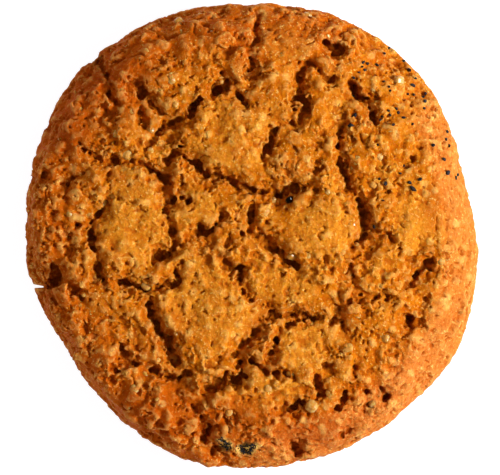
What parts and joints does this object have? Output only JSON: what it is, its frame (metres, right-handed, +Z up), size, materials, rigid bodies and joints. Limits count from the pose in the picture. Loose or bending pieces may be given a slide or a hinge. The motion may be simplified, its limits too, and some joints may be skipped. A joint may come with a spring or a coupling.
{
  "type": "ginger snap biscuit",
  "caption": "Round baked ginger biscuit with a domed, cracked and crumbly crust, a rounded rim and a flat base.",
  "frame": {"origin": "middle of the biscuit's box, on the flat base that it lies on", "axes": "+Z up out of the cracked top; +X to the right and +Y to the top of the biscuit as it is seen from above"},
  "size_m": [0.0596, 0.0606, 0.0117],
  "materials": {
    "baked_crust": "matte, crumbly, golden brown baked crust with pale coarse sugar grains and dark specks"
  },
  "bodies": {
    "root": {"biscuit": "baked_crust"}
  },
  "joints": []
}
